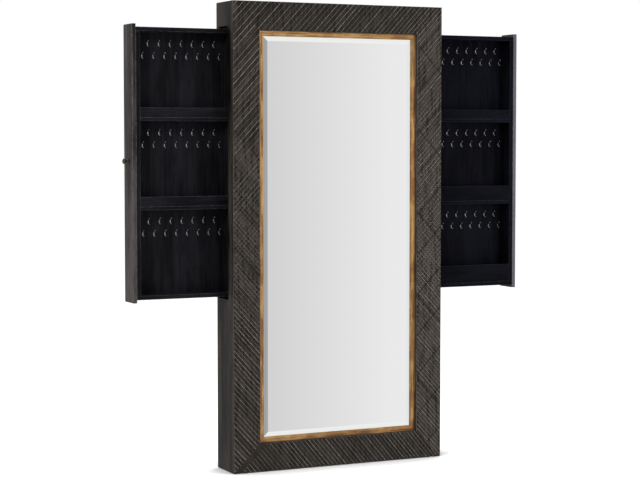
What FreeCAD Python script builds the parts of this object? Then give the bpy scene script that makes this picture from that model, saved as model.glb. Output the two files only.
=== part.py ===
import FreeCAD, Part
import math
import os

# Floor mirror that is also a jewellery cabinet: a tray slides out of each side of the case.
# Sizes are in millimetres. X runs along the width, the glass faces -Y and Z is up.
# The origin is on the floor under the middle of the case. Both trays stand pulled out.
# Depths are measured backwards from the front face of the frame, heights from the floor.

# Case
case_width = 1042.0
case_depth = 190.0
case_height = 2083.0
board = 18.0  # side panels, top, bottom and bay boards
panel_slip = 0.3  # round loose panels, at each edge
back_thickness = 5.0
back_inset = 2.0  # back panel in from the rear edges of the sides
backing_thickness = 12.0  # panel that the glass lies against

# Glides under the case
glide_height = 3.0
glide_radius = 11.0
glide_sides = 16
glide_side_inset = 60.0  # glide centre from the side of the case
glide_rear_inset = 24.0  # rear glide centre from the back of the case

# Face frame, mitred at the corners
frame_width = 128.0
frame_depth = 25.0
outer_arris = 1.5
inner_arris = 4.0

# Scored lines on the face frame, rising ones from the top left corner and falling ones from the bottom left
score_width = 3.0
score_depth = 1.6
score_overrun = 4.0  # cutter beyond the edges and above the face
rising_pitch_wide = 22.5  # between lines at the corner
rising_pitch_tight = 16.0  # between lines farther from the corner than the width of the case
rising_run = 0.95  # width that a line crosses for each unit of height
falling_pitch_wide = 17.0
falling_pitch_tight = 14.5
falling_run = 0.93  # on the stiles
bottom_run = 0.85  # on the bottom rail
left_rising_end = 900.0  # lowest rising line on the left stile
left_falling_end = 1200.0  # highest falling line on the left stile
right_rising_end = 900.0
right_falling_end = 1200.0

# Gilt liner between the frame and the glass
liner_width = 22.0
liner_recess = 15.0  # behind the face of the frame
liner_flat = 16.0  # level band, next to the frame
liner_fall = 1.5  # drop of the slope towards the glass

# Mirror glass
glass_thickness = 5.0
glass_edge = 2.5  # thickness left at the rim by the bevel
glass_bevel = 28.0
glass_cover = 7.0  # rim hidden under the liner
glass_slip = 1.0  # between the rim and the liner

# Slot in each side panel
slot_front = 60.0  # behind the front face
slot_rear = 18.0  # in front of the rear edge of the side panel
slot_bottom = 769.5  # above the floor
slot_top_drop = 107.0  # below the top of the case

# Sliding trays
tray_middle_gap = 51.5  # inner end of a closed tray from the middle of the case
tray_stay = 27.0  # length of a tray that stays in the case when it is out
closed_gap = 0.5  # end panel stands this far proud of the side when shut
end_thickness = 18.0
end_fit = 1.5  # end panel in the slot, at each edge
end_arris = 2.0
tray_rise = 15.0  # tray box inside the slot, at its top and its bottom
tray_board = 18.0
shelf_thickness = 15.0
hook_panel_thickness = 12.0
compartments = 3
lip_thickness = 9.0
lip_setback = 1.5  # lip behind the front edge of its shelf
left_lips = (43.0, 43.0, 0.0)  # lip heights from the top compartment down
right_lips = (43.0, 70.0, 82.0)

# Hooks, in two staggered rows in each compartment
hook_pitch = 51.0
hook_side_margin = 3.0  # least room beside the columns
hook_first_row = 49.0  # below the ceiling of the compartment
hook_row_pitch = 54.0
hook_width = 6.0
hook_plate = 2.5
hook_half_plate = 9.0
hook_reach = 16.5
hook_bar = 2.8

# Knobs
knob_rise = 11.25  # above the middle of the end panel
knob_reach = 27.0
knob_base_radius = 8.0
knob_base_length = 3.0
knob_neck_radius = 5.0
knob_neck_length = 9.0  # from the panel to the flare of the head
knob_head_radius = 12.5
knob_rim = 5.0
knob_crown = 6.0  # depth of the sloping front
knob_crown_radius = 6.0  # flat at the tip
knob_sides = 24

# Telescopic slides, two behind each tray
slide_height = 45.0
slide_thickness = 12.8
slide_wall = 1.2
slide_gap = 0.4
slide_lip = 2.2
slide_front_gap = 2.2  # front edge of the fixed channel behind the tray
slide_middle_gap = 61.0  # inner end of the fixed channel from the middle of the case
slide_end_gap = 2.0  # fixed channel inside the side panel
slide_inset = 160.0  # slide centre from the top and the bottom of the tray
rail_height = 70.0
rail_thickness = 38.2

# Places worked out from the sizes above
half_width = case_width / 2
frame_height = case_height - glide_height
frame_middle = glide_height + frame_height / 2
inner_half_width = half_width - board
back_front = case_depth - back_inset - back_thickness
slot_back = case_depth - slot_rear
slot_top = case_height - slot_top_drop
end_front = slot_front + end_fit
end_back = slot_back - end_fit
end_low = slot_bottom + end_fit
end_high = slot_top - end_fit
knob_height = (end_low + end_high) / 2 + knob_rise
rail_front = back_front - rail_thickness
tray_back = rail_front - slide_thickness
tray_low = slot_bottom + tray_rise
tray_high = slot_top - tray_rise
hook_face = tray_back - hook_panel_thickness
slide_centres = (tray_high - slide_inset, tray_low + slide_inset)
tray_near = half_width - tray_stay
tray_travel = tray_near - tray_middle_gap
inside_near = tray_near + tray_board
end_outside = half_width + closed_gap + tray_travel
end_inside = end_outside - end_thickness
inside_far = end_inside - tray_board
hook_columns = int((inside_far - inside_near - 2 * hook_side_margin) / hook_pitch)
fixed_far = inner_half_width - slide_end_gap
slide_length = fixed_far - slide_middle_gap
shelf_room = tray_high - tray_low - 2 * tray_board - (compartments - 1) * shelf_thickness
compartment_height = shelf_room / compartments
ceilings = [
    tray_high - tray_board - row * (compartment_height + shelf_thickness) for row in range(compartments)
]
floors = [ceiling - compartment_height for ceiling in ceilings]
row_names = ("upper", "middle", "lower")


def at_depth(depth):
    """Y of a depth behind the front face."""
    return depth - case_depth / 2


def block(x_ends, depths, heights):
    """Board between two X values, two depths and two heights."""
    low_x = min(x_ends)
    size_x = max(x_ends) - low_x
    corner = FreeCAD.Vector(low_x, at_depth(depths[0]), heights[0])
    return Part.makeBox(size_x, depths[1] - depths[0], heights[1] - heights[0], corner)


def out(side, near, far):
    """X ends of a tray piece that lies between two distances from the middle of the case."""
    return (side * near, side * far)


def closed_face(points):
    """Flat face inside a ring of points."""
    return Part.Face(Part.makePolygon(points + points[:1]))


def mitred_member(profile, length, offset, turn):
    """Length of moulding with mitred ends, laid along one edge of the upright rectangle.

    The profile holds (inward, depth) points, and the member is as long as its outer edge. It is
    made as the bottom member, offset below the middle of the frame, and turned into its place.
    """
    widest = max(inward for inward, depth in profile)
    half = length / 2
    ring = [FreeCAD.Vector(-half, at_depth(depth), inward) for inward, depth in profile]
    bar = closed_face(ring).extrude(FreeCAD.Vector(length, 0, 0))
    outline = [
        FreeCAD.Vector(-half, -case_depth, 0),
        FreeCAD.Vector(half, -case_depth, 0),
        FreeCAD.Vector(half - widest, -case_depth, widest),
        FreeCAD.Vector(widest - half, -case_depth, widest),
    ]
    mitre = closed_face(outline).extrude(FreeCAD.Vector(0, 2 * case_depth, 0))
    member = bar.common(mitre)
    member.translate(FreeCAD.Vector(0, 0, -offset))
    member.rotate(FreeCAD.Vector(0, 0, 0), FreeCAD.Vector(0, 1, 0), turn)
    member.translate(FreeCAD.Vector(0, 0, frame_middle))
    return member


def mitred_set(profile, inset):
    """Bottom, left, top and right members round a rectangle that lies inside the frame's outline."""
    width = case_width - 2 * inset
    height = frame_height - 2 * inset
    return {
        "bottom": mitred_member(profile, width, height / 2, 0),
        "left": mitred_member(profile, height, width / 2, 90),
        "top": mitred_member(profile, width, height / 2, 180),
        "right": mitred_member(profile, height, width / 2, 270),
    }


def score_cutter(x, z, run):
    """V-shaped cutter through a point of the face, along a line of this run for each unit of height."""
    along = FreeCAD.Vector(run, 0, 1).normalize()
    across = FreeCAD.Vector(-along.z, 0, along.x)
    half_length = frame_width / 2 / min(abs(along.x), along.z) + score_overrun
    half_top = score_width / 2 * (score_depth + score_overrun) / score_depth
    start = FreeCAD.Vector(x, at_depth(0), z) - along * half_length
    above = start - FreeCAD.Vector(0, score_overrun, 0)
    tip = start + FreeCAD.Vector(0, score_depth, 0)
    outline = [above + across * half_top, tip, above - across * half_top]
    return closed_face(outline).extrude(along * 2 * half_length)


def score_offsets(pitch_wide, pitch_tight, run):
    """Distances of scored lines from their corner, measured on the level.

    The pitch narrows over the width of the case and then stays tight.
    """
    offsets = []
    place = pitch_wide
    while place < case_width + frame_height * run:
        offsets.append(place)
        share = min(place / case_width, 1)
        pitch = pitch_wide + (pitch_tight - pitch_wide) * share
        place += pitch * math.hypot(1, run)
    return offsets


def score_rail(rail, height, offsets, run):
    """Scores a rail along its whole length."""
    half_crossing = frame_width / 2 * abs(run)
    places = [offset - half_width - half_crossing for offset in offsets]
    return rail.cut([score_cutter(x, height, run) for x in places if x < half_width + half_crossing])


def score_stile(stile, x, rising_end, falling_end):
    """Scores a stile with rising lines above and falling lines below, which cross where they meet."""
    shift = x + half_width
    half = frame_width / 2
    highest = case_height + half / rising_run
    lowest = glide_height - half / falling_run
    rising_offsets = score_offsets(rising_pitch_wide, rising_pitch_tight, rising_run)
    falling_offsets = score_offsets(falling_pitch_wide, falling_pitch_tight, falling_run)
    rising = [case_height - (offset - shift) / rising_run for offset in rising_offsets]
    falling = [glide_height + (offset - shift) / falling_run for offset in falling_offsets]
    rising_cutters = [score_cutter(x, z, rising_run) for z in rising if rising_end < z < highest]
    falling_cutters = [score_cutter(x, z, -falling_run) for z in falling if lowest < z < falling_end]
    return stile.cut(rising_cutters).cut(falling_cutters)


def face_frame():
    """Four scored members of the face frame."""
    profile = [
        (0, outer_arris),
        (outer_arris, 0),
        (frame_width - inner_arris, 0),
        (frame_width, inner_arris),
        (frame_width, frame_depth),
        (0, frame_depth),
    ]
    members = mitred_set(profile, 0)
    half = frame_width / 2
    stile_x = half_width - half
    top_offsets = score_offsets(rising_pitch_wide, rising_pitch_tight, rising_run)
    bottom_offsets = score_offsets(falling_pitch_wide, falling_pitch_tight, bottom_run)
    return {
        "frame_top_rail": score_rail(members["top"], case_height - half, top_offsets, rising_run),
        "frame_bottom_rail": score_rail(members["bottom"], glide_height + half, bottom_offsets, -bottom_run),
        "frame_left_stile": score_stile(members["left"], -stile_x, left_rising_end, left_falling_end),
        "frame_right_stile": score_stile(members["right"], stile_x, right_rising_end, right_falling_end),
    }


def liner():
    """Four gilt mouldings, rebated behind for the rim of the glass."""
    rebate = frame_depth - glass_thickness - panel_slip
    profile = [
        (0, liner_recess),
        (liner_flat, liner_recess),
        (liner_width, liner_recess + liner_fall),
        (liner_width, rebate),
        (liner_width - glass_cover, rebate),
        (liner_width - glass_cover, frame_depth),
        (0, frame_depth),
    ]
    members = mitred_set(profile, frame_width)
    return {"liner_" + place: member for place, member in members.items()}


def rectangle(inset, depth):
    """Upright rectangular wire, inset from the frame's outline."""
    half = half_width - inset
    low = glide_height + inset
    high = case_height - inset
    y = at_depth(depth)
    corners = [(-half, low), (half, low), (half, high), (-half, high), (-half, low)]
    return Part.makePolygon([FreeCAD.Vector(x, y, z) for x, z in corners])


def mirror_glass():
    """Bevelled plate of glass."""
    rim = frame_width + liner_width - glass_cover + glass_slip
    front = frame_depth - glass_thickness
    shoulder = frame_depth - glass_edge
    plate = Part.Face(rectangle(rim, shoulder)).extrude(FreeCAD.Vector(0, glass_edge, 0))
    bevelled = Part.makeLoft([rectangle(rim, shoulder), rectangle(rim + glass_bevel, front)], True, True)
    return plate.fuse(bevelled).removeSplitter()


def side_panel(side):
    """Side of the case with the tray's slot cut through it."""
    x_ends = out(side, inner_half_width, half_width)
    panel = block(x_ends, (frame_depth, case_depth), (glide_height, case_height))
    past = out(side, inner_half_width - board, half_width + board)
    slot = block(past, (slot_front, slot_back), (slot_bottom, slot_top))
    return panel.cut(slot)


def case_boards():
    """Boards and panels of the case behind the face frame."""
    across = (-inner_half_width, inner_half_width)
    loose = (panel_slip - inner_half_width, inner_half_width - panel_slip)
    behind_frame = (frame_depth, back_front)
    backing_depths = (frame_depth, frame_depth + backing_thickness)
    bay_depths = (frame_depth + backing_thickness, back_front)
    low = glide_height + board
    high = case_height - board
    pieces = {
        "left_side_panel": side_panel(-1),
        "right_side_panel": side_panel(1),
        "top_board": block(across, behind_frame, (high, case_height)),
        "bottom_board": block(across, behind_frame, (glide_height, low)),
        "mirror_backing": block(loose, backing_depths, (low + panel_slip, high - panel_slip)),
        "bay_floor": block(across, bay_depths, (slot_bottom - board, slot_bottom)),
        "bay_ceiling": block(across, bay_depths, (slot_top, slot_top + board)),
        "back_panel": block(loose, (back_front, back_front + back_thickness), (glide_height, case_height)),
    }
    for name, centre in zip(("upper", "lower"), slide_centres):
        heights = (centre - rail_height / 2, centre + rail_height / 2)
        pieces[name + "_slide_rail"] = block(across, (rail_front, back_front), heights)
    return pieces


def polygon(radius, sides):
    """Points of a regular polygon round the origin."""
    turns = [2 * math.pi * step / sides for step in range(sides)]
    return [(radius * math.cos(turn), radius * math.sin(turn)) for turn in turns]


def floor_glides():
    """Four glides, the front pair under the bottom rail of the frame."""
    x_places = (glide_side_inset - half_width, half_width - glide_side_inset)
    depths = (frame_depth / 2, case_depth - glide_rear_inset)
    solids = []
    for x in x_places:
        for depth in depths:
            ring = polygon(glide_radius, glide_sides)
            foot = closed_face([FreeCAD.Vector(x + along, at_depth(depth + back), 0) for along, back in ring])
            solids.append(foot.extrude(FreeCAD.Vector(0, 0, glide_height)))
    return Part.makeCompound(solids)


def channel_section(half, front, back):
    """Lipped channel, open towards the tray, as (depth behind the tray, height) points."""
    upper = [
        (back, half),
        (front, half),
        (front, half - slide_wall - slide_lip),
        (front + slide_wall, half - slide_wall - slide_lip),
        (front + slide_wall, half - slide_wall),
        (back - slide_wall, half - slide_wall),
    ]
    return upper + [(depth, -height) for depth, height in reversed(upper)]


def hat_section(half_leg, half_foot, foot):
    """Channel on the tray whose feet turn outwards behind the lips of the channel that holds it."""
    upper = [
        (0, half_leg),
        (foot, half_leg),
        (foot, half_foot),
        (foot + slide_wall, half_foot),
        (foot + slide_wall, half_leg - slide_wall),
        (slide_wall, half_leg - slide_wall),
    ]
    return upper + [(depth, -height) for depth, height in reversed(upper)]


def slide_pair(side, section, far):
    """One member of the upper slide and of the lower slide, reaching inwards from a distance out."""
    run = FreeCAD.Vector(-side * slide_length, 0, 0)
    members = []
    for centre in slide_centres:
        ring = [FreeCAD.Vector(side * far, at_depth(tray_back + depth), centre + z) for depth, z in section]
        members.append(closed_face(ring).extrude(run))
    return Part.makeCompound(members)


def slides(side, name):
    """Fixed, middle and moving members of the two slides behind a tray."""
    step = slide_wall + slide_gap
    fixed_half = slide_height / 2
    middle_half = fixed_half - step
    fixed = channel_section(fixed_half, slide_front_gap, slide_thickness)
    middle = channel_section(middle_half, slide_front_gap + step, slide_thickness - step)
    half_leg = middle_half - slide_wall - slide_lip - slide_gap
    moving = hat_section(half_leg, middle_half - step, slide_front_gap + 2 * step)
    return {
        name + "_fixed_channels": slide_pair(side, fixed, fixed_far),
        name + "_middle_channels": slide_pair(side, middle, fixed_far + tray_travel / 2),
        name + "_moving_channels": slide_pair(side, moving, fixed_far + tray_travel),
    }


def end_panel(side):
    """Panel that closes the slot, with eased edges outside."""
    panel = block(out(side, end_inside, end_outside), (end_front, end_back), (end_low, end_high))
    outer = [
        edge
        for edge in panel.Edges
        if all(abs(vertex.X - side * end_outside) < panel_slip for vertex in edge.Vertexes)
    ]
    return panel.makeChamfer(end_arris, outer)


def knob(side):
    """Turned knob with fine flats, round an axis that points out of the end panel."""
    outline = [
        (0, knob_base_radius),
        (knob_base_length, knob_neck_radius),
        (knob_neck_length, knob_neck_radius),
        (knob_reach - knob_crown - knob_rim, knob_head_radius),
        (knob_reach - knob_crown, knob_head_radius),
        (knob_reach, knob_crown_radius),
    ]
    middle = at_depth((end_front + end_back) / 2)
    rings = []
    for reach, radius in outline:
        x = side * (end_outside + reach)
        ring = polygon(radius, knob_sides)
        rings.append([FreeCAD.Vector(x, middle + y, knob_height + z) for y, z in ring])
    flats = [closed_face(rings[0]), closed_face(rings[-1])]
    for near, far in zip(rings, rings[1:]):
        for this, other in zip(range(-1, knob_sides), range(knob_sides)):
            flats.append(closed_face([near[this], near[other], far[other], far[this]]))
    return Part.makeSolid(Part.makeShell(flats))


def hook_profile():
    """Outline of a double hook, as (reach in front of the panel, height) points."""
    crook = hook_half_plate / 2
    bottom = hook_half_plate + hook_bar
    return [
        (0, -hook_half_plate),
        (0, hook_half_plate),
        (hook_plate, hook_half_plate),
        (hook_reach - hook_half_plate / 2, hook_half_plate + 2 * hook_bar),
        (hook_reach - hook_half_plate / 2 + hook_bar / 2, hook_half_plate + hook_bar),
        (hook_plate, crook),
        (hook_plate, -crook),
        (hook_plate + crook, -bottom + hook_bar / 2),
        (hook_reach - crook, -bottom + hook_bar / 2),
        (hook_reach - hook_bar, -crook),
        (hook_reach, -crook),
        (hook_reach - hook_bar, -bottom - hook_bar),
        (hook_plate + hook_bar, -bottom - hook_bar),
    ]


def hook_places(ceiling):
    """Distance from the middle of the case and height of each hook of a compartment."""
    middle = (inside_near + inside_far) / 2
    first = middle - hook_pitch * (hook_columns - 1) / 2
    upper = ceiling - hook_first_row
    places = [(first + hook_pitch * (column + 0.5), upper) for column in range(hook_columns - 1)]
    places += [(first + hook_pitch * column, upper - hook_row_pitch) for column in range(hook_columns)]
    return places


def hooks(side, ceiling):
    """All the hooks of one compartment."""
    solids = []
    for distance, height in hook_places(ceiling):
        x = side * distance - hook_width / 2
        ring = [FreeCAD.Vector(x, at_depth(hook_face - reach), height + z) for reach, z in hook_profile()]
        solids.append(closed_face(ring).extrude(FreeCAD.Vector(hook_width, 0, 0)))
    return Part.makeCompound(solids)


def tray(side, name, lips):
    """Boards, shelves, lips, hooks, end panel and knob of one tray."""
    depths = (end_front, tray_back)
    inside = out(side, inside_near, inside_far)
    length = out(side, tray_near, end_inside)
    between = (tray_low + tray_board, tray_high - tray_board)
    pieces = {
        "end_panel": end_panel(side),
        "knob": knob(side),
        "tray_outer_side": block(out(side, inside_far, end_inside), depths, between),
        "tray_inner_side": block(out(side, tray_near, inside_near), depths, between),
        "tray_top": block(length, depths, (tray_high - tray_board, tray_high)),
        "tray_bottom": block(length, depths, (tray_low, tray_low + tray_board)),
        "hook_panel": block(inside, (hook_face, tray_back), between),
    }
    lip_front = end_front + lip_setback
    for row, floor in zip(row_names, floors):
        if floor != floors[-1]:
            pieces[row + "_shelf"] = block(inside, (end_front, hook_face), (floor - shelf_thickness, floor))
    for row, floor, lip in zip(row_names, floors, lips):
        if lip > 0:
            pieces[row + "_lip"] = block(inside, (lip_front, lip_front + lip_thickness), (floor, floor + lip))
    for row, ceiling in zip(row_names, ceilings):
        pieces[row + "_hooks"] = hooks(side, ceiling)
    return {name + "_" + piece: shape for piece, shape in pieces.items()}


def all_pieces():
    """Every piece of the object by name."""
    pieces = {}
    pieces.update(face_frame())
    pieces.update(liner())
    pieces["mirror_glass"] = mirror_glass()
    pieces.update(case_boards())
    pieces["floor_glides"] = floor_glides()
    for side, name, lips in ((-1, "left", left_lips), (1, "right", right_lips)):
        pieces.update(slides(side, name))
        pieces.update(tray(side, name, lips))
    return pieces


os.makedirs("parts", exist_ok=True)
for node, shape in all_pieces().items():
    shape.exportStep("parts/" + node + ".step")
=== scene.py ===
import bisect
import math
import random

import bmesh
import bpy
from bpy.props import FloatProperty, FloatVectorProperty, IntProperty, PointerProperty
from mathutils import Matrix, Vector


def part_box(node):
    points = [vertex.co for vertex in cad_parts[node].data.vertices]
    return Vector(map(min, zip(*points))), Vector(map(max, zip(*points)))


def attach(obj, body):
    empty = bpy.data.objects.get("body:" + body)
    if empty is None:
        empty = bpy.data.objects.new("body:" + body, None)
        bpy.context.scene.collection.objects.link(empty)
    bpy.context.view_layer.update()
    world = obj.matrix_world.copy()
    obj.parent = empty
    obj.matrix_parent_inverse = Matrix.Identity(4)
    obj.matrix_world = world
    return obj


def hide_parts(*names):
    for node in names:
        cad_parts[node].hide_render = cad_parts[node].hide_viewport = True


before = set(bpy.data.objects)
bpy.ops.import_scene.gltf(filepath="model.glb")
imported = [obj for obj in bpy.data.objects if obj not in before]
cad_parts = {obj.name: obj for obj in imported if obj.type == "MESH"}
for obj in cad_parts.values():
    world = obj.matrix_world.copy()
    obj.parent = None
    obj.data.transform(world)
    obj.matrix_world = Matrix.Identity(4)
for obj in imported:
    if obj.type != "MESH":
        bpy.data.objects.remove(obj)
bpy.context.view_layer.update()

bl_info = {
    "name": "Floor mirror with jewellery trays",
    "version": (1, 0, 0),
    "blender": (4, 5, 0),
    "location": "View3D > Sidebar > Mirror",
    "description": "Dresses a full-length mirror whose case holds a sliding jewellery tray in each side",
    "category": "Object",
}

SIDES = {"left": -1, "right": 1}
ROWS = ("upper", "middle", "lower")

# Places read from the frame, in metres
FRAME_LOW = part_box("frame_bottom_rail")[0]
FRAME_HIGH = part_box("frame_top_rail")[1]
FRAME_MIDDLE = (FRAME_LOW + FRAME_HIGH) / 2
FACE_Y = FRAME_LOW.y
NEAR = 0.00005  # two places closer than this are the same
AXIS_SHARE = 0.98  # a normal with less than this along any axis belongs to an eased edge
FRONT_SHARE = 0.3  # a face of the front has more than this towards the front
PLAIN_AREA = 0.003  # square metres, a face larger than this is no strip between scored lines
SHARP = 1.0  # radians, faces that meet at more than this form a corner
QUARTER = math.radians(90)
MILLI = 0.001
JOINT = -1.0  # strength of a dark joint; that of a scored line is above 0, that of a stained line in between

# Rings of a knob: share of its reach, and share of its radius
KNOB_PROFILE = (
    (0.0, 0.64), (0.05, 0.66), (0.09, 0.68), (0.12, 0.62), (0.16, 0.46), (0.26, 0.4), (0.36, 0.42),
    (0.46, 0.56), (0.54, 0.8), (0.6, 0.94), (0.67, 1.0), (0.75, 0.99), (0.83, 0.9), (0.91, 0.7),
    (0.97, 0.42), (1.0, 0.16),
)
# Rings of a screw head: rise as a share of the head's, and width as a share of the ring before
SCREW_PROFILE = ((0.4, 0.96), (0.4, 0.78), (0.2, 0.5), (0.0, 0.8), (-0.7, 0.5))

# The backdrop that the glass reflects: degrees to the right of straight ahead, and brightness
BACKDROP = (
    (-60, 0.8), (-10, 0.58), (8, 0.34), (14, 0.39), (22.5, 0.62),
    (28, 0.88), (36, 0.88), (44, 0.8), (70, 0.83),
)
BACKDROP_ENDS = (0.93, 0.925, 0.905)  # colour above and below it
BACKDROP_MIDDLE = math.radians(-3.8)  # height of its middle above the horizon
BACKDROP_EDGES = (math.radians(9), math.radians(16))  # heights from its middle between which it ends


def length(name, description, millimetres):
    """Property for a size that is given in millimetres and kept in metres."""
    return FloatProperty(
        name=name, description=description, default=millimetres * MILLI, min=0, unit="LENGTH", precision=5
    )


def colour(name, description, shade):
    """Property for a colour."""
    return FloatVectorProperty(
        name=name, description=description, default=shade, size=3, min=0, max=1, subtype="COLOR"
    )


def share(name, description, value):
    """Property for a value between 0 and 1."""
    return FloatProperty(name=name, description=description, default=value, min=0, max=1, subtype="FACTOR")


def span(name, description, ends):
    """Property for the lower and upper end of a range between 0 and 1."""
    return FloatVectorProperty(name=name, description=description, default=ends, size=2, min=0, max=1)


def count(name, description, number):
    """Property for a number of things, at least two."""
    return IntProperty(name=name, description=description, default=number, min=2)


def angle(name, description, degrees):
    """Property for an angle that is given in degrees."""
    return FloatProperty(name=name, description=description, default=math.radians(degrees), unit="ROTATION")


def spot(name, description, place):
    """Property for a place in metres."""
    return FloatVectorProperty(name=name, description=description, default=place, size=3, unit="LENGTH")


def extent(name, description, metres):
    """Property for a large size in metres."""
    return FloatProperty(name=name, description=description, default=metres, min=0, unit="LENGTH")


def power(name, description, watts):
    """Property for the power of a lamp."""
    return FloatProperty(name=name, description=description, default=watts, min=0, unit="POWER")


class WoodSettings(bpy.types.PropertyGroup):
    """Sizes and colours of the wooden pieces."""

    score_width: length("Score width", "Width of a scored line", 1.9)
    score_depth: length("Score depth", "Depth of a scored line", 1.4)
    # Painted shadow: a dark line on the lower side of each scored line stands in for the shade of the groove
    painted_shadow_line: length("Painted shadow line", "Width of the dark line beside a scored line", 3.2)
    rising_wide: length("Wide rising pitch", "Between rising lines at the top left corner", 22.5)
    rising_tight: length("Tight rising pitch", "Between rising lines from the case's width on", 16.0)
    falling_wide: length("Wide falling pitch", "Between falling lines at the bottom left corner", 17.0)
    falling_tight: length("Tight falling pitch", "Between falling lines from the case's width on", 14.5)
    left_rising_end: length("Left rising end", "Lowest rising line on the left stile", 640.0)
    left_falling_end: length("Left falling end", "Highest falling line on the left stile", 1480.0)
    right_rising_end: length("Right rising end", "Lowest rising line on the right stile", 300.0)
    right_falling_end: length("Right falling end", "Highest falling line on the right stile", 1650.0)
    rising_run: share("Rising run", "Run of a rising line over its rise", 0.95)
    falling_run: share("Falling run", "Run of a falling line of a stile over its fall", 0.93)
    steep_run: share("Steep run", "Run of a falling line of the bottom rail over its fall", 0.85)
    fade: length("Fade", "Height over which the lines of a stile fade out", 900.0)
    fade_least: share("Least of a fade", "Share of its strength that a fading line keeps", 0.25)
    fade_most: share("Most of a fade", "Share of its strength that a full line has", 0.95)
    left_strength: span("Left lines", "Strengths of the scored lines of the left stile", (0.25, 1.0))
    right_strength: span("Right lines", "Strengths of the scored lines of the right stile", (0.3, 0.85))
    rail_strength: span("Rail lines", "Strengths of the scored lines of a rail", (0.25, 0.95))
    stained_strength: span("Stained lines", "Strengths of the stained lines across a rail", (0.6, 0.95))
    stained_start: share("Stained start", "Share of its strength that a stained line has at the left", 0.45)
    stained_gain: share("Stained gain", "Share of its strength that it gains towards the right", 0.5)
    left_tones: span("Left tones", "Tones of the strips of the left stile", (0.0, 1.0))
    # Painted light: the right stile's strips keep to the lightest tones so that it reads brighter than the
    # left; the strips still differ in tone
    right_lit_tones: span("Right lit tones", "Tones of the strips of the right stile", (0.85, 1.0))
    rail_tones: span("Rail tones", "Tones of the strips of a rail", (0.0, 0.5))
    joint_width: length("Joint width", "Width of a dark joint on the right stile", 3.6)
    joint_spacing: length("Joint spacing", "Height between dark joints on the right stile", 185.0)
    plain_mitre: length("Plain mitre", "Unscored strip beside the mitre at the bottom left", 24.0)
    outer_arris: length("Outer arris", "Rounding of the outer edge of the face frame", 1.5)
    inner_arris: length("Inner arris", "Rounding of the inner edge of the face frame", 3.5)
    board_ease: length("Board ease", "Rounding of the edges of boards", 0.8)
    tray_ease: length("Tray ease", "Rounding of the edges of tray boards", 1.4)
    end_ease: length("End panel ease", "Rounding of the outer edges of the end panels", 2.0)
    end_fit: length("End panel fit", "Gap between an end panel and its slot", 1.5)
    stain: colour("Stain", "Ground colour of the face frame", (0.014, 0.0115, 0.0095))
    stain_light: colour("Light stain", "Lighter streaks of the face frame", (0.03, 0.0255, 0.022))
    stain_warm: colour("Warm stain", "Brownest strips of the face frame", (0.062, 0.051, 0.044))
    score_tint: colour("Scored wood", "Pale wood in the scored lines", (0.4, 0.37, 0.325))
    side_dark: colour("Side ground", "Ground colour of the sides of the case", (0.0024, 0.002, 0.0017))
    side_light: colour("Side streaks", "Lighter streaks of the sides of the case", (0.041, 0.0345, 0.0305))
    end_dark: colour("End panel ground", "Ground colour of the end panels", (0.0085, 0.0077, 0.0074))
    end_light: colour("End panel streaks", "Lighter streaks of the end panels", (0.072, 0.0635, 0.061))
    # Painted highlight: a pale bluish colour stands in for the light on the right end panel's front edge
    edge_highlight: colour("Painted edge highlight", "Pale front edge of the right end panel", (0.078, 0.082, 0.095))
    # Painted light: both trays are one wood, given as a lighter lit copy on the left and a darker, bluer
    # shaded copy on the right
    left_tray_dark: colour("Left tray ground", "Ground colour of the left tray", (0.0034, 0.0034, 0.0044))
    left_tray_light: colour("Left tray streaks", "Streaks of the left tray", (0.0094, 0.0094, 0.012))
    right_tray_dark: colour("Right tray ground", "Ground colour of the right tray", (0.0013, 0.0014, 0.0024))
    right_tray_light: colour("Right tray streaks", "Streaks of the right tray", (0.0036, 0.0039, 0.0064))
    board_dark: colour("Raw board ground", "Ground colour of the hidden boards", (0.16, 0.105, 0.065))
    board_light: colour("Raw board streaks", "Lighter flecks of the hidden boards", (0.3, 0.21, 0.135))


class LinerSettings(bpy.types.PropertyGroup):
    """Sizes and colours of the gilt liner and the glass."""

    flat: length("Flat band", "Level band next to the frame", 16.0)
    fall: length("Fall", "Drop of the slope towards the glass", 1.5)
    shoulder: length("Shoulder", "Rounding between the level band and the slope", 4.0)
    gold: colour("Gold", "Bright gold leaf", (0.56, 0.325, 0.125))
    gold_dark: colour("Old gold", "Darkened gold leaf", (0.33, 0.168, 0.064))
    clay: colour("Clay", "Ground that shows where the leaf is worn", (0.09, 0.035, 0.015))
    silver: colour("Silvering", "Reflection of the mirror", (0.93, 0.932, 0.93))
    silver_edge: colour("Glass edge", "Reflection in the thin rim of the glass", (0.86, 0.91, 0.88))


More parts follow.
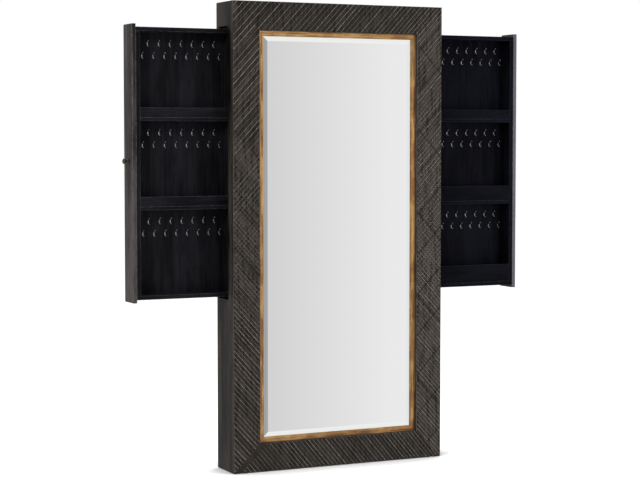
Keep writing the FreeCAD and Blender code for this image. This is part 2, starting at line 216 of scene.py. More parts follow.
class HardwareSettings(bpy.types.PropertyGroup):
    """Sizes and colours of hooks, knobs, slides, screws and glides."""

    hook_columns: count("Hook columns", "Hooks in the lower row", 8)
    hook_bar: length("Hook bar", "Radius of the round bar of a hook", 1.4)
    hook_ball: length("Hook ball", "Radius of the ball at each tip of a hook", 2.5)
    hook_plate: length("Hook plate", "Thickness of the plate of a hook", 1.5)
    hook_plate_width: length("Hook plate width", "Width of the plate of a hook", 5.0)
    hook_plate_height: length("Hook plate height", "Height of the plate of a hook", 13.0)
    hook_run: length("Hook run", "Length of the bar that lies on the plate", 9.0)
    hook_bend: length("Hook bend", "Radius of the upper bend of a hook", 5.0)
    hook_prong: length("Hook prong", "Straight length of the upper prong", 12.5)
    hook_arc: length("Hook arc", "Radius of the lower bend of a hook", 5.5)
    hook_slope: angle("Hook slope", "Slope of the upper prong", 37)
    hook_sweep: angle("Hook sweep", "Angle of the lower bend", 125)
    hook_corner: share("Hook corner", "Rounding of the plate as a share of half its width", 0.9)
    hook_stand: share("Hook stand", "Height of the bar's middle over the plate as a share of its radius", 0.7)
    screw_radius: length("Screw radius", "Radius of a screw head", 4.0)
    screw_rise: length("Screw rise", "Height of a screw head", 1.6)
    screw_inset: length("Screw inset", "Screws from the edge of the back panel", 9.0)
    screw_columns: count("Screw columns", "Screws across the back panel", 5)
    screw_rows: count("Screw rows", "Screws up the back panel", 9)
    nickel: colour("Nickel", "Plating of the hooks", (0.42, 0.42, 0.43))
    nickel_dark: colour("Dull nickel", "Dull places in the plating of the hooks", (0.14, 0.14, 0.145))
    bronze: colour("Bronze", "Ground colour of the knobs", (0.045, 0.038, 0.034))
    bronze_light: colour("Rubbed bronze", "Bright places on the knobs", (0.16, 0.13, 0.1))
    zinc: colour("Zinc", "Plating of the slides and screws", (0.55, 0.56, 0.58))
    zinc_dark: colour("Dull zinc", "Dull places in the plating", (0.36, 0.37, 0.39))
    nylon: colour("Nylon", "Plastic of the glides", (0.02, 0.02, 0.021))
    nylon_light: colour("Scuffed nylon", "Scuffs on the glides", (0.06, 0.06, 0.062))


class StageSettings(bpy.types.PropertyGroup):
    """Camera, lights and floor."""

    camera_place: spot("Camera place", "Where the camera stands", (-3.537, -7.2488, 1.4936))
    camera_turn: angle("Camera turn", "Turn to the right of the +Y axis", 25.655)
    camera_dip: angle("Camera dip", "Tilt below the horizon", 3.361)
    lens: FloatProperty(name="Lens", description="Focal length", default=99.742, unit="CAMERA")
    floor_size: extent("Floor size", "Side of the floor", 40)
    # Painted shade: the floor glows less within this reach of the case
    floor_shade: extent("Floor shade", "Reach of the shade on the floor round the case", 0.4)
    floor_open: span("Open floor", "Openness at which the floor starts and ends to brighten", (0.52, 0.95))
    floor_lift: share("Floor lift", "Brightness that the open floor adds to its own", 0.62)
    sky: share("Sky light", "Strength of the light from all round", 0.55)
    key_place: spot("Key place", "Where the large lamp in front stands", (2.7, -2.8, 1.3))
    key_aim: spot("Key aim", "Where the large lamp in front points", (0.3, 0, 1.0))
    key_size: extent("Key size", "Side of the large lamp in front", 1.8)
    key: power("Key light", "Power of the large lamp in front", 120)
    fill_place: spot("Fill place", "Where the lamp on the left stands", (-4.4, -2.6, 3.9))
    fill_aim: spot("Fill aim", "Where the lamp on the left points", (-0.6, 0, 1.1))
    fill_size: extent("Fill size", "Side of the lamp on the left", 0.9)
    fill: power("Fill light", "Power of the lamp on the left", 200)
    top_place: spot("Top place", "Where the lamp overhead hangs", (0.0, 0.4, 4.6))
    top_aim: spot("Top aim", "Where the lamp overhead points", (0, 0.2, 1))
    top_size: extent("Top size", "Side of the lamp overhead", 3.0)
    top: power("Top light", "Power of the lamp overhead", 40)


# Editing


def deselect():
    """Object mode with nothing selected."""
    if bpy.context.mode != "OBJECT":
        bpy.ops.object.mode_set(mode="OBJECT")
    bpy.ops.object.select_all(action="DESELECT")


def activate(piece):
    """Selects one piece alone."""
    deselect()
    piece.select_set(True)
    bpy.context.view_layer.objects.active = piece


def start_edit(piece):
    """Edit mode on one piece with nothing selected."""
    activate(piece)
    bpy.ops.object.mode_set(mode="EDIT")
    bpy.ops.mesh.select_all(action="DESELECT")


def end_edit():
    """Back to object mode."""
    bpy.ops.object.mode_set(mode="OBJECT")


def choose(piece, kind, test):
    """Selects the shown faces, edges or verts of a piece in edit mode that pass a test."""
    modes = {"faces": "FACE", "edges": "EDGE", "verts": "VERT"}
    bpy.ops.mesh.select_mode(type=modes[kind])
    bpy.ops.mesh.select_all(action="DESELECT")
    mesh = bmesh.from_edit_mesh(piece.data)
    for part in getattr(mesh, kind):
        if not part.hide and test(part):
            part.select_set(True)
    mesh.select_flush_mode()
    bmesh.update_edit_mesh(piece.data)


def middle_of(part):
    """Middle of a face or an edge."""
    if isinstance(part, bmesh.types.BMFace):
        return part.calc_center_median()
    return (part.verts[0].co + part.verts[1].co) / 2


def apply_place():
    """Moves the place, turn and size of the selected piece into its mesh."""
    bpy.ops.object.transform_apply(location=True, rotation=True, scale=True)


def add_block(name, low, high):
    """Block between two corners, with its place in its mesh."""
    deselect()
    bpy.ops.mesh.primitive_cube_add(size=1, location=(low + high) / 2)
    piece = bpy.context.object
    piece.name = name
    bpy.ops.transform.resize(value=high - low)
    apply_place()
    return piece


def add_disc(name, vertices, radius, place, turn):
    """Flat disc, with its place in its mesh."""
    deselect()
    bpy.ops.mesh.primitive_circle_add(
        vertices=vertices, radius=radius, fill_type="NGON", location=place, rotation=turn
    )
    piece = bpy.context.object
    piece.name = name
    apply_place()
    return piece


def cut(place, normal, remove=False):
    """Cuts all that shows of a piece in edit mode by a plane, and may take away what lies beyond it."""
    bpy.ops.mesh.select_all(action="SELECT")
    bpy.ops.mesh.bisect(plane_co=place, plane_no=normal, use_fill=remove, clear_outer=remove)


def round_edges(offset, segments):
    """Rounds the selected edges of a piece in edit mode."""
    bpy.ops.mesh.bevel(offset=offset, segments=segments, affect="EDGES")


def face_outward():
    """Turns the faces of a piece in edit mode outwards, and leaves edit mode."""
    bpy.ops.mesh.select_all(action="SELECT")
    bpy.ops.mesh.normals_make_consistent(inside=False)
    end_edit()


def store(piece, name, values):
    """Gives each face of a piece a number that its finish reads."""
    piece.data.attributes.new(name, "FLOAT", "FACE").data.foreach_set("value", values)


def mark_eased(piece):
    """Marks the faces that ease an edge, for the wear in the finish."""
    faces = piece.data.polygons
    store(piece, "eased", [float(max(abs(part) for part in face.normal) < AXIS_SHARE) for face in faces])


def smooth(piece, degrees=35):
    """Smooth shading across all but the sharp edges."""
    activate(piece)
    bpy.ops.object.shade_smooth_by_angle(angle=math.radians(degrees))


def join(pieces, name):
    """Joins pieces into one."""
    deselect()
    for piece in pieces:
        piece.select_set(True)
    bpy.context.view_layer.objects.active = pieces[0]
    bpy.ops.object.join()
    piece = bpy.context.object
    piece.name = name
    return piece


def copy_to(piece, move):
    """Copy of a piece, with its own mesh, moved from it."""
    activate(piece)
    bpy.ops.object.duplicate(linked=False)
    bpy.ops.transform.translate(value=move)
    apply_place()
    return bpy.context.object


def settle(piece, body, slot, material, *nodes):
    """Gives a finished piece its finish and its body, and hides the nodes that it stands for."""
    piece.data.materials.clear()
    piece.data.materials.append(material)
    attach(piece, body)
    if nodes:
        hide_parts(*nodes)


def dress(nodes, material):
    """Gives nodes that stay as they are their finish."""
    for node in nodes:
        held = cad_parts[node].data.materials
        held.clear()
        held.append(material)


# Finishes


def put(tree, kind, inputs=None, **settings):
    """Adds a node, with its settings and its inputs, which are values or links."""
    made = tree.nodes.new(kind)
    for name, value in settings.items():
        setattr(made, name, value)
    for name, value in (inputs or {}).items():
        fill(tree, made.inputs[name], value)
    return made


def fill(tree, socket, value):
    """Links a socket, or sets its value. A colour of three parts gets full alpha."""
    if isinstance(value, bpy.types.NodeSocket):
        tree.links.new(value, socket)
    elif socket.type == "RGBA" and len(value) == 3:
        socket.default_value = (*value, 1)
    else:
        socket.default_value = value


def blend(tree, part, first, second):
    """Mix of two colours."""
    made = put(tree, "ShaderNodeMix", data_type="RGBA")
    sockets = {socket.identifier: socket for socket in made.inputs}
    fill(tree, sockets["Factor_Float"], part)
    fill(tree, sockets["A_Color"], first)
    fill(tree, sockets["B_Color"], second)
    return next(socket for socket in made.outputs if socket.identifier == "Result_Color")


def sum_up(tree, operation, *values):
    """Result of a sum on numbers."""
    made = put(tree, "ShaderNodeMath", operation=operation)
    for socket, value in zip(made.inputs, values):
        fill(tree, socket, value)
    return made.outputs["Value"]


def scaled(tree, value, factor):
    """Number times another."""
    return sum_up(tree, "MULTIPLY", value, factor)


def pick(tree, mark, plain, marked):
    """One number where a mark is 0 and another where it is 1."""
    unmarked = sum_up(tree, "SUBTRACT", 1.0, mark)
    return sum_up(tree, "MULTIPLY_ADD", mark, marked, scaled(tree, unmarked, plain))


def tinted(shade, factor):
    """Colour made darker or lighter."""
    return [min(part * factor, 1) for part in shade]


def spread(tree, value, low, high, out_low=0.0, out_high=1.0):
    """Value moved from one range to another and kept within it."""
    inputs = {"Value": value, "From Min": low, "From Max": high, "To Min": out_low, "To Max": out_high}
    return put(tree, "ShaderNodeMapRange", inputs, interpolation_type="SMOOTHSTEP").outputs["Result"]


def noise(tree, vector, scale, detail=3.0, roughness=0.5):
    """Noise of a scale given in waves per metre."""
    inputs = {"Vector": vector, "Scale": scale, "Detail": detail, "Roughness": roughness}
    return put(tree, "ShaderNodeTexNoise", inputs).outputs["Fac"]


def turned(tree, vector, turn=(0, 0, 0), scale=(1, 1, 1)):
    """Coordinates turned and stretched."""
    inputs = {"Vector": vector, "Rotation": turn, "Scale": scale}
    return put(tree, "ShaderNodeMapping", inputs).outputs["Vector"]


def attribute(tree, name):
    """Number that a piece's faces carry."""
    return put(tree, "ShaderNodeAttribute", attribute_name=name).outputs["Fac"]


def new_group(name, inputs, outputs):
    """Empty node group with named sockets, its inner input node and its inner output node."""
    group = bpy.data.node_groups.new(name, "ShaderNodeTree")
    for socket, kind in inputs:
        group.interface.new_socket(socket, in_out="INPUT", socket_type=kind)
    for socket in outputs:
        group.interface.new_socket(socket, in_out="OUTPUT", socket_type="NodeSocketFloat")
    entry = put(group, "NodeGroupInput")
    leave = put(group, "NodeGroupOutput")
    return group, entry, leave


def use_group(tree, name, inputs):
    """Places a node group in a material."""
    return put(tree, "ShaderNodeGroup", inputs, node_tree=bpy.data.node_groups[name]).outputs


def grain_group():
    """Streaks and pores of wood whose grain runs along Z."""
    sockets = [
        ("Vector", "NodeSocketVector"),
        ("Streak scale", "NodeSocketFloat"),
        ("Pore scale", "NodeSocketFloat"),
    ]
    group, entry, leave = new_group("Wood grain", sockets, ("Streaks", "Pores"))
    place, streak_scale, pore_scale = (entry.outputs[name] for name, kind in sockets)
    drawn_out = {"streaks": 0.06, "patches": 0.35, "pores": 0.045}
    ways = {name: turned(group, place, scale=(1, 1, along)) for name, along in drawn_out.items()}
    broad = noise(group, ways["streaks"], streak_scale, detail=4, roughness=0.6)
    patches = noise(group, ways["patches"], scaled(group, streak_scale, 0.2), detail=2)
    streaks = sum_up(group, "MULTIPLY_ADD", patches, 0.5, scaled(group, broad, 0.6))
    fine = noise(group, ways["pores"], pore_scale, detail=2, roughness=0.4)
    fill(group, leave.inputs["Streaks"], spread(group, streaks, 0.42, 0.68))
    fill(group, leave.inputs["Pores"], spread(group, fine, 0.54, 0.68))


def wear_group():
    """Places where eased edges are rubbed. The wood finishes also paint a highlight there."""
    sockets = [("Vector", "NodeSocketVector"), ("Scale", "NodeSocketFloat")]
    group, entry, leave = new_group("Edge wear", sockets, ("Rubbed",))
    patches = noise(group, entry.outputs["Vector"], entry.outputs["Scale"], detail=4, roughness=0.6)
    uneven = spread(group, patches, 0.35, 0.7, out_low=0.2)
    fill(group, leave.inputs["Rubbed"], scaled(group, attribute(group, "eased"), uneven))


def scuff_group():
    """Dull places and fine scratches of handled metal."""
    sockets = [("Vector", "NodeSocketVector"), ("Scale", "NodeSocketFloat")]
    group, entry, leave = new_group("Metal scuffs", sockets, ("Dull", "Scratches"))
    dull = noise(group, entry.outputs["Vector"], entry.outputs["Scale"], detail=4, roughness=0.6)
    fine = turned(group, entry.outputs["Vector"], turn=(0.3, 0.2, 0.5), scale=(1, 8, 1))
    scratches = noise(group, fine, scaled(group, entry.outputs["Scale"], 6.0), detail=2)
    fill(group, leave.inputs["Dull"], spread(group, dull, 0.35, 0.68))
    fill(group, leave.inputs["Scratches"], spread(group, scratches, 0.6, 0.7))


def clear_tree(owner):
    """Empty node tree of a material or a world."""
    owner.use_nodes = True
    owner.node_tree.nodes.clear()
    return owner.node_tree


def mix_shaders(tree, part, first, second):
    """Mix of two shaders."""
    made = put(tree, "ShaderNodeMixShader", {"Fac": part})
    tree.links.new(first, made.inputs[1])
    tree.links.new(second, made.inputs[2])
    return made.outputs["Shader"]


def reflected(tree, path):
    """1 for rays that come by way of a mirror or a glass."""
    return sum_up(tree, "MAXIMUM", path["Is Glossy Ray"], path["Is Transmission Ray"])


def new_material(name):
    """Empty material, its tree, its surface shader and its object coordinates."""
    material = bpy.data.materials.new(name)
    tree = clear_tree(material)
    shader = put(tree, "ShaderNodeBsdfPrincipled")
    put(tree, "ShaderNodeOutputMaterial", {"Surface": shader.outputs["BSDF"]})
    return material, tree, shader, put(tree, "ShaderNodeTexCoord").outputs["Object"]


def bump(tree, shader, height, distance, strength):
    """Fine relief on a shader."""
    inputs = {"Height": height, "Distance": distance, "Strength": strength}
    fill(tree, shader.inputs["Normal"], put(tree, "ShaderNodeBump", inputs).outputs["Normal"])


def roughen(tree, shader, value, at_none, at_full):
    """Roughness of a shader that changes with a value between 0 and 1."""
    fill(tree, shader.inputs["Roughness"], spread(tree, value, 0, 1, at_none, at_full))


def wood(name, dark, light, turn, gloss, rubbed, pale):
    """Stained board. The turn brings the grain of the board to the Z axis. Marked faces take a painted
    highlight in the pale colour.
    """
    material, tree, shader, place = new_material(name)
    grain_inputs = {"Vector": turned(tree, place, turn), "Streak scale": 45.0, "Pore scale": 420.0}
    grain = use_group(tree, "Wood grain", grain_inputs)
    wear = use_group(tree, "Edge wear", {"Vector": place, "Scale": 60.0})
    ground = blend(tree, grain["Streaks"], dark, light)
    pored = blend(tree, scaled(tree, grain["Pores"], 0.55), ground, tinted(dark, 0.4))
    # Eased edges lightened towards the streak colour: partly rubbed wear, partly a painted highlight along
    # the edges
    worn = blend(tree, wear["Rubbed"], pored, tinted(light, rubbed))
    # Painted highlight on the marked front edge, in the pale colour
    edge_highlight = blend(tree, grain["Streaks"], tinted(pale, 0.75), pale)
    lipped = blend(tree, attribute(tree, "lipped"), worn, edge_highlight)
    fill(tree, shader.inputs["Base Color"], lipped)
    roughen(tree, shader, grain["Streaks"], at_none=0.56, at_full=0.7)
    shader.inputs["Specular IOR Level"].default_value = gloss
    relief = sum_up(tree, "SUBTRACT", scaled(tree, grain["Streaks"], 0.4), grain["Pores"])
    bump(tree, shader, relief, distance=0.0004, strength=0.5)
    return material


def scored_wood(wood_settings):
    """Face frame: strips laid aslant, each of its own tone, with pale scored lines between them."""
    material, tree, shader, place = new_material("Scored wood")
    slant = math.radians(45)
    scales = {"Streak scale": 70.0, "Pore scale": 520.0}
    grains = []
    plies = []
    for turn in (-slant, slant):
        grains.append(use_group(tree, "Wood grain", {"Vector": turned(tree, place, (0, turn, 0)), **scales}))
        crosswise = turned(tree, place, (0, -turn, 0), (1, 1, 0.07))
        plies.append(noise(tree, crosswise, scale=95.0, detail=2))
    falling = attribute(tree, "falling")
    streaks = pick(tree, falling, *(grain["Streaks"] for grain in grains))
    pores = pick(tree, falling, *(grain["Pores"] for grain in grains))
    across = pick(tree, falling, *plies)
    wear = use_group(tree, "Edge wear", {"Vector": place, "Scale": 40.0})
    ground = blend(tree, streaks, wood_settings.stain, wood_settings.stain_light)
    strips = blend(tree, attribute(tree, "strip"), wood_settings.stain, wood_settings.stain_warm)
    even = blend(tree, 0.5, ground, strips)
    black = tinted(wood_settings.stain, 0.25)
    mixed = blend(tree, spread(tree, across, 0.48, 0.62, out_high=0.75), even, black)
    pored = blend(tree, scaled(tree, pores, 0.6), mixed, black)
    # Dark joints and stained lines go towards black here, and so does the painted shadow line beside each
    # scored line
    joint = attribute(tree, "joint")
    jointed = blend(tree, scaled(tree, joint, 0.92), pored, black)
    broken = spread(tree, noise(tree, place, scale=90.0), 0.3, 0.62, out_low=0.5)
    unstained = spread(tree, joint, 0, 1, out_low=1.0, out_high=0.35)
    pale = scaled(tree, scaled(tree, attribute(tree, "score"), broken), unstained)
    scored = blend(tree, pale, jointed, wood_settings.score_tint)
    worn = blend(tree, scaled(tree, wear["Rubbed"], 0.25), scored, wood_settings.score_tint)
    fill(tree, shader.inputs["Base Color"], worn)
    roughen(tree, shader, streaks, at_none=0.55, at_full=0.72)
    shader.inputs["Specular IOR Level"].default_value = 0.12
    relief = sum_up(tree, "SUBTRACT", scaled(tree, streaks, 0.5), pores)
    bump(tree, shader, relief, distance=0.0005, strength=0.6)
    return material


def gilt(liner_settings):
    """Gold leaf on clay, darkened and rubbed through in places."""
    material, tree, shader, place = new_material("Gilt")
    patches = spread(tree, noise(tree, place, scale=9.0, detail=4, roughness=0.6), 0.38, 0.62)
    ways = [turned(tree, place, scale=stretch) for stretch in ((0.06, 1, 1), (1, 1, 0.06))]
    level_streaks, upright_streaks = (noise(tree, way, scale=130.0) for way in ways)
    streaks = pick(tree, attribute(tree, "upright"), level_streaks, upright_streaks)
    flecks = spread(tree, noise(tree, place, scale=160.0, roughness=0.6), 0.58, 0.72)
    wear = use_group(tree, "Edge wear", {"Vector": place, "Scale": 55.0})
    ground = blend(tree, patches, liner_settings.gold_dark, liner_settings.gold)
    leaf = blend(tree, spread(tree, streaks, 0.46, 0.64, out_high=0.6), ground, liner_settings.clay)
    worn = scaled(tree, wear["Rubbed"], 0.35)
    rubbed = sum_up(tree, "MAXIMUM", scaled(tree, flecks, 0.55), worn)
    fill(tree, shader.inputs["Base Color"], blend(tree, rubbed, leaf, liner_settings.clay))
    fill(tree, shader.inputs["Metallic"], spread(tree, rubbed, 0, 1, out_low=0.75, out_high=0.2))
    roughen(tree, shader, patches, at_none=0.5, at_full=0.38)
    bump(tree, shader, noise(tree, place, scale=240.0), distance=0.0003, strength=0.4)
    return material


def silvering(liner_settings):
    """Mirror, with a trace of green in the thin rim and a breath of dust."""
    material, tree, shader, place = new_material("Mirror")
    low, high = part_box("mirror_glass")
    parts = put(tree, "ShaderNodeSeparateXYZ", {"Vector": place}).outputs
    from_side = sum_up(tree, "SUBTRACT", high.x, sum_up(tree, "ABSOLUTE", parts["X"]))
    half_height = (high.z - low.z) / 2
    from_middle = sum_up(tree, "ABSOLUTE", sum_up(tree, "SUBTRACT", parts["Z"], low.z + half_height))
    from_end = sum_up(tree, "SUBTRACT", half_height, from_middle)
    rim = spread(tree, sum_up(tree, "MINIMUM", from_side, from_end), 0.0, 0.03, out_low=1.0, out_high=0.0)
    tint = blend(tree, rim, liner_settings.silver, liner_settings.silver_edge)
    fill(tree, shader.inputs["Base Color"], tint)
    dust = noise(tree, place, scale=6.0, detail=4, roughness=0.6)
    fill(tree, shader.inputs["Roughness"], spread(tree, dust, 0.3, 0.7, out_low=0.006, out_high=0.02))
    shader.inputs["Metallic"].default_value = 1
    return material


def metal(name, bright, dull, roughness, scale, metallic=1.0):
    """Plated or patinated metal with dull places and scratches."""
    material, tree, shader, place = new_material(name)
    scuffs = use_group(tree, "Metal scuffs", {"Vector": place, "Scale": scale})
    wear = use_group(tree, "Edge wear", {"Vector": place, "Scale": scale})
    ground = blend(tree, scuffs["Dull"], bright, dull)
    worn = blend(tree, scaled(tree, wear["Rubbed"], 0.5), ground, bright)
    fill(tree, shader.inputs["Base Color"], worn)
    roughen(tree, shader, scuffs["Dull"], at_none=roughness, at_full=roughness + 0.18)
    shader.inputs["Metallic"].default_value = metallic
    bump(tree, shader, scuffs["Scratches"], distance=0.00008, strength=0.4)
    return material


def plastic(name, ground, scuffed):
    """Moulded plastic with scuffs."""
    material, tree, shader, place = new_material(name)
    scuffs = use_group(tree, "Metal scuffs", {"Vector": place, "Scale": 120.0})
    fill(tree, shader.inputs["Base Color"], blend(tree, scuffs["Dull"], ground, scuffed))
    roughen(tree, shader, scuffs["Dull"], at_none=0.45, at_full=0.6)
    bump(tree, shader, scuffs["Scratches"], distance=0.0001, strength=0.3)
    return material


def finish(name):
    """Material that was made by name."""
    return bpy.data.materials[name]


# Pieces


def eased_board(name, node, ease):
    """Board with rounded edges in the place of a node."""
    piece = add_block(name, *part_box(node))
    start_edit(piece)
    bpy.ops.mesh.select_all(action="SELECT")
    round_edges(ease, segments=2)
    end_edit()
    mark_eased(piece)
    smooth(piece)
    return piece


def axis_across(rail):
    """Index of the axis across a frame or liner member: Z for a rail, X for a stile."""
    return 2 if rail else 0


def member(name, node, rail):
    """Block in the place of a frame or liner member, mitred at both ends towards the corners of the frame."""
    low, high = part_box(node)
    axis = axis_across(rail)
    side = math.copysign(1, (low[axis] + high[axis]) / 2 - FRAME_MIDDLE[axis])
    ends = [(-1, side), (1, side)] if rail else [(side, -1), (side, 1)]
    piece = add_block(name, low, high)
    start_edit(piece)
    for across, up in ends:
        corner = Vector((FRAME_HIGH.x * across, FACE_Y, FRAME_HIGH.z if up > 0 else FRAME_LOW.z))
        beyond = Vector((across, 0, -up)) * (1 if rail else -1)
        cut(corner, beyond, remove=True)
    end_edit()
    return piece


class Family:
    """Parallel scored lines. A line is known by where it meets the level through the family's corner."""

    def __init__(self, corner, run, wide, tight):
        self.corner = corner
        self.run = run
        self.wide = wide
        self.tight = tight
        self.lean = math.hypot(1, run)
        # Side of each line that carries its painted shadow line: the lower side
        self.stained = -math.copysign(1, run)

    def offset(self, point):
        """Offset of the line through a point."""
        return point.x - self.corner.x + (point.z - self.corner.z) * self.run

    def reach(self, wood_settings, strength):
        """Half the width of a line or joint, and the reach of the painted shadow line beside it, on the
        level.
        """
        if strength < 0:
            half = wood_settings.joint_width / 2 * self.lean
            return half, half
        half = wood_settings.score_width / 2 * self.lean
        return half, half + wood_settings.painted_shadow_line * self.lean

    def normal(self):
        """Direction across the lines."""
        return Vector((1, 0, self.run))

    def offsets(self):
        """Offsets of the lines, which lie closer together from left to right."""
        width = FRAME_HIGH.x - FRAME_LOW.x
        reach = width + (FRAME_HIGH.z - FRAME_LOW.z) * abs(self.run)
        found = []
        place = self.wide
        while place < reach:
            found.append(place)
            place += (self.wide + (self.tight - self.wide) * min(place / width, 1)) * self.lean
        return found

    def crossing(self, low, high):
        """Offsets of the lines that cross a box."""
        ends = [self.offset(Vector((x, 0, z))) for x in (low.x, high.x) for z in (low.z, high.z)]
        return [place for place in self.offsets() if min(ends) < place < max(ends)]


def only_stained(strength):
    """Whether a line of some strength is a stain without a groove."""
    return JOINT < strength < 0


def score(piece, wood_settings, scores):
    """Cuts V-shaped grooves into the shown front of a frame member, and an edge for each painted shadow line.
    """
    for family, lines in scores:
        for line, strength in lines.items():
            half, outer = family.reach(wood_settings, strength)
            shifts = {-half, half, outer * family.stained}
            if not only_stained(strength):
                shifts.add(0)
            for shift in sorted(shifts):
                cut(family.corner + Vector((line + shift, 0, 0)), family.normal())
    for family, lines in scores:
        ordered = sorted(line for line, strength in lines.items() if not only_stained(strength))
        if ordered:
            choose(piece, "verts", lambda vert: nearest(ordered, family.offset(vert.co))[0] < NEAR)
            bpy.ops.transform.translate(value=(0, wood_settings.score_depth, 0))


def nearest(ordered, value):
    """Distance from a value to the nearest of some ordered values, and that one's index."""
    after = bisect.bisect(ordered, value)
    beside = [index for index in (after - 1, after) if 0 <= index < len(ordered)]
    return min((abs(value - ordered[index]), index) for index in beside)


def mark_strips(piece, wood_settings, scores, shades, draw):
    """Marks each face with the tone of its strip, the slant of its grain and the line in which it lies."""
    faces = piece.data.polygons
    marks = {name: [0.0] * len(faces) for name in ("strip", "falling", "score", "joint")}
    marks["strip"] = [sum(shades) / 2] * len(faces)
    for falling, (family, lines) in enumerate(scores):
        ordered = sorted(lines)
        tones = [draw.uniform(*shades) for strip in range(len(ordered) + 1)]
        grooved = max(lines.values(), default=0) > 0
        for face in faces if ordered else ():
            if face.area > PLAIN_AREA:
                continue
            offset = family.offset(face.center)
            away, index = nearest(ordered, offset)
            strength = lines[ordered[index]]
            half, outer = family.reach(wood_settings, strength)
            beside = (offset - ordered[index]) * family.stained > 0
            if grooved and ordered[0] - family.wide < offset < ordered[-1] + family.wide:
                marks["strip"][face.index] = tones[bisect.bisect(ordered, offset)]
                marks["falling"][face.index] = float(falling)
            if face.normal.y > -FRONT_SHARE:
                continue
            if away < half and strength > 0:
                marks["score"][face.index] = max(strength, marks["score"][face.index])
            # The joint mark also takes the painted shadow line on the lower side of each scored line
            elif away < half or (beside and away < outer):
                marks["joint"][face.index] = max(min(abs(strength), 1), marks["joint"][face.index])
    marks["score"] = [0.0 if joint == 1 else line for line, joint in zip(marks["score"], marks["joint"])]
    for name, values in marks.items():
        store(piece, name, values)


class MIRROR_OT_finishes(bpy.types.Operator):
    """Makes the finishes of the wood, the gilt, the glass and the metal"""

    bl_idname = "mirror.finishes"
    bl_label = "Finishes"

    def execute(self, context):
        scene = context.scene
        woods, liners, hardware = scene.mirror_wood, scene.mirror_liner, scene.mirror_hardware
        grain_group()
        wear_group()
        scuff_group()
        scored_wood(woods)
        # The last number lightens eased edges: rubbed wear and a painted highlight, strongest on the trays
        for name, dark, light, gloss, rubbed in (
            ("Side wood", woods.side_dark, woods.side_light, 0.12, 1.5),
            ("End wood", woods.end_dark, woods.end_light, 0.12, 1.5),
            # The trays: lit and shaded copies of one wood, which is painted light
            ("Left tray wood", woods.left_tray_dark, woods.left_tray_light, 0.04, 5.0),
            ("Right tray wood", woods.right_tray_dark, woods.right_tray_light, 0.04, 5.0),
            ("Raw board", woods.board_dark, woods.board_light, 0.12, 1.5),
        ):
            for grain, turn in (("upright", 0), ("level", QUARTER)):
                wood(f"{name} {grain}", dark, light, (0, turn, 0), gloss, rubbed, woods.edge_highlight)
        gilt(liners)
        silvering(liners)
        metal("Nickel", hardware.nickel, hardware.nickel_dark, roughness=0.22, scale=160.0)
        metal("Bronze", hardware.bronze, hardware.bronze_light, roughness=0.38, scale=140.0, metallic=0.85)
        metal("Zinc", hardware.zinc, hardware.zinc_dark, roughness=0.34, scale=60.0)
        plastic("Nylon", hardware.nylon, hardware.nylon_light)
        return {"FINISHED"}


